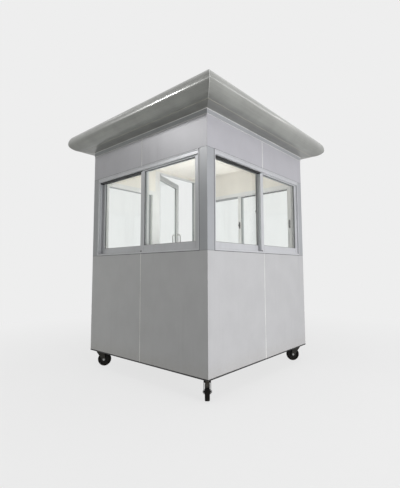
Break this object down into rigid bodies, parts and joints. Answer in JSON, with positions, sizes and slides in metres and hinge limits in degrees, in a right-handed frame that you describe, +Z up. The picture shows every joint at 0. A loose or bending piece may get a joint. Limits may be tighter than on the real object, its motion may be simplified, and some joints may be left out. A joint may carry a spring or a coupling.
{
  "type": "security guard booth",
  "caption": "Wheeled square guard booth clad in silver panels, with a bullnose eave, sliding windows, a glazed rear door and swivel casters.",
  "frame": {"origin": "on the ground under the middle of the whole booth, its eaves and ajar door included", "axes": "+Z up, +Y from the front wall to the wall with the door, +X to the right seen from the front"},
  "size_m": [2.006, 2.1018, 2.436],
  "materials": {
    "wall_panel": "satin silver panel",
    "eave_sheet": "satin rolled sheet",
    "window_profile": "anodised",
    "trim": "satin",
    "glass": "clear",
    "ceiling_panel": "white",
    "floor_sheet": "covered sheet",
    "base_paint": "black paint",
    "timber": "plain",
    "deck_sheet": "grey",
    "steel": "brushed",
    "fork_paint": "dark",
    "latch_plastic": "dark moulded",
    "wheel_rubber": "black"
  },
  "bodies": {
    "booth": {"lower_wall_front": "wall_panel", "lower_wall_left": "wall_panel", "lower_wall_right": "wall_panel", "lower_wall_rear": "wall_panel", "upper_wall_front": "wall_panel", "upper_wall_left": "wall_panel", "upper_wall_right": "wall_panel", "upper_wall_rear": "wall_panel", "corner_posts": "wall_panel", "canopy_front": "eave_sheet", "canopy_left": "eave_sheet", "canopy_right": "eave_sheet", "canopy_rear": "eave_sheet", "front_window_frame": "window_profile", "left_window_frame": "window_profile", "right_window_frame": "window_profile", "rear_window_frame": "window_profile", "front_window_outer_sash": "window_profile", "front_window_inner_sash": "window_profile", "left_window_outer_sash": "window_profile", "left_window_inner_sash": "window_profile", "right_window_outer_sash": "window_profile", "right_window_inner_sash": "window_profile", "door_frame": "window_profile", "front_window_glass": "glass", "left_window_glass": "glass", "right_window_glass": "glass", "rear_window_glass": "glass", "window_latches": "latch_plastic", "base_frame": "base_paint", "floor": "floor_sheet", "head_beam": "trim", "ceiling": "ceiling_panel", "roof_curb": "timber", "roof_deck": "deck_sheet"},
    "door": {"door_leaf": "window_profile", "door_glass": "glass", "door_pulls": "steel"},
    "caster_front_left": {"caster_fork_front_left": "fork_paint"},
    "wheel_front_left": {"caster_wheel_front_left": "wheel_rubber"},
    "caster_front_right": {"caster_fork_front_right": "fork_paint"},
    "wheel_front_right": {"caster_wheel_front_right": "wheel_rubber"},
    "caster_rear_left": {"caster_fork_rear_left": "fork_paint"},
    "wheel_rear_left": {"caster_wheel_rear_left": "wheel_rubber"},
    "caster_rear_right": {"caster_fork_rear_right": "fork_paint"},
    "wheel_rear_right": {"caster_wheel_rear_right": "wheel_rubber"}
  },
  "joints": [
    {"name": "door_hinge", "type": "hinge", "parent": "booth", "child": "door", "pos_m": [0.03, 0.76007, 1.2], "axis": [0, 0, 1], "range_deg": [-23, 87]},
    {"name": "swivel_front_left", "type": "hinge", "parent": "booth", "child": "caster_front_left", "pos_m": [-0.725, -0.77293, 0.1487], "axis": [0, 0, 1], "continuous": true},
    {"name": "roll_front_left", "type": "hinge", "parent": "caster_front_left", "child": "wheel_front_left", "pos_m": [-0.75368, -0.79786, 0.065], "axis": [-0.6561, 0.7547, 0], "continuous": true},
    {"name": "swivel_front_right", "type": "hinge", "parent": "booth", "child": "caster_front_right", "pos_m": [0.725, -0.77293, 0.1487], "axis": [0, 0, 1], "continuous": true},
    {"name": "roll_front_right", "type": "hinge", "parent": "caster_front_right", "child": "wheel_front_right", "pos_m": [0.70007, -0.74425, 0.065], "axis": [0.7547, 0.6561, 0], "continuous": true},
    {"name": "swivel_rear_left", "type": "hinge", "parent": "booth", "child": "caster_rear_left", "pos_m": [-0.725, 0.67707, 0.1487], "axis": [0, 0, 1], "continuous": true},
    {"name": "roll_rear_left", "type": "hinge", "parent": "caster_rear_left", "child": "wheel_rear_left", "pos_m": [-0.70007, 0.64839, 0.065], "axis": [-0.7547, -0.6561, 0], "continuous": true},
    {"name": "swivel_rear_right", "type": "hinge", "parent": "booth", "child": "caster_rear_right", "pos_m": [0.725, 0.67707, 0.1487], "axis": [0, 0, 1], "continuous": true},
    {"name": "roll_rear_right", "type": "hinge", "parent": "caster_rear_right", "child": "wheel_rear_right", "pos_m": [0.75368, 0.702, 0.065], "axis": [0.6561, -0.7547, 0], "continuous": true}
  ]
}
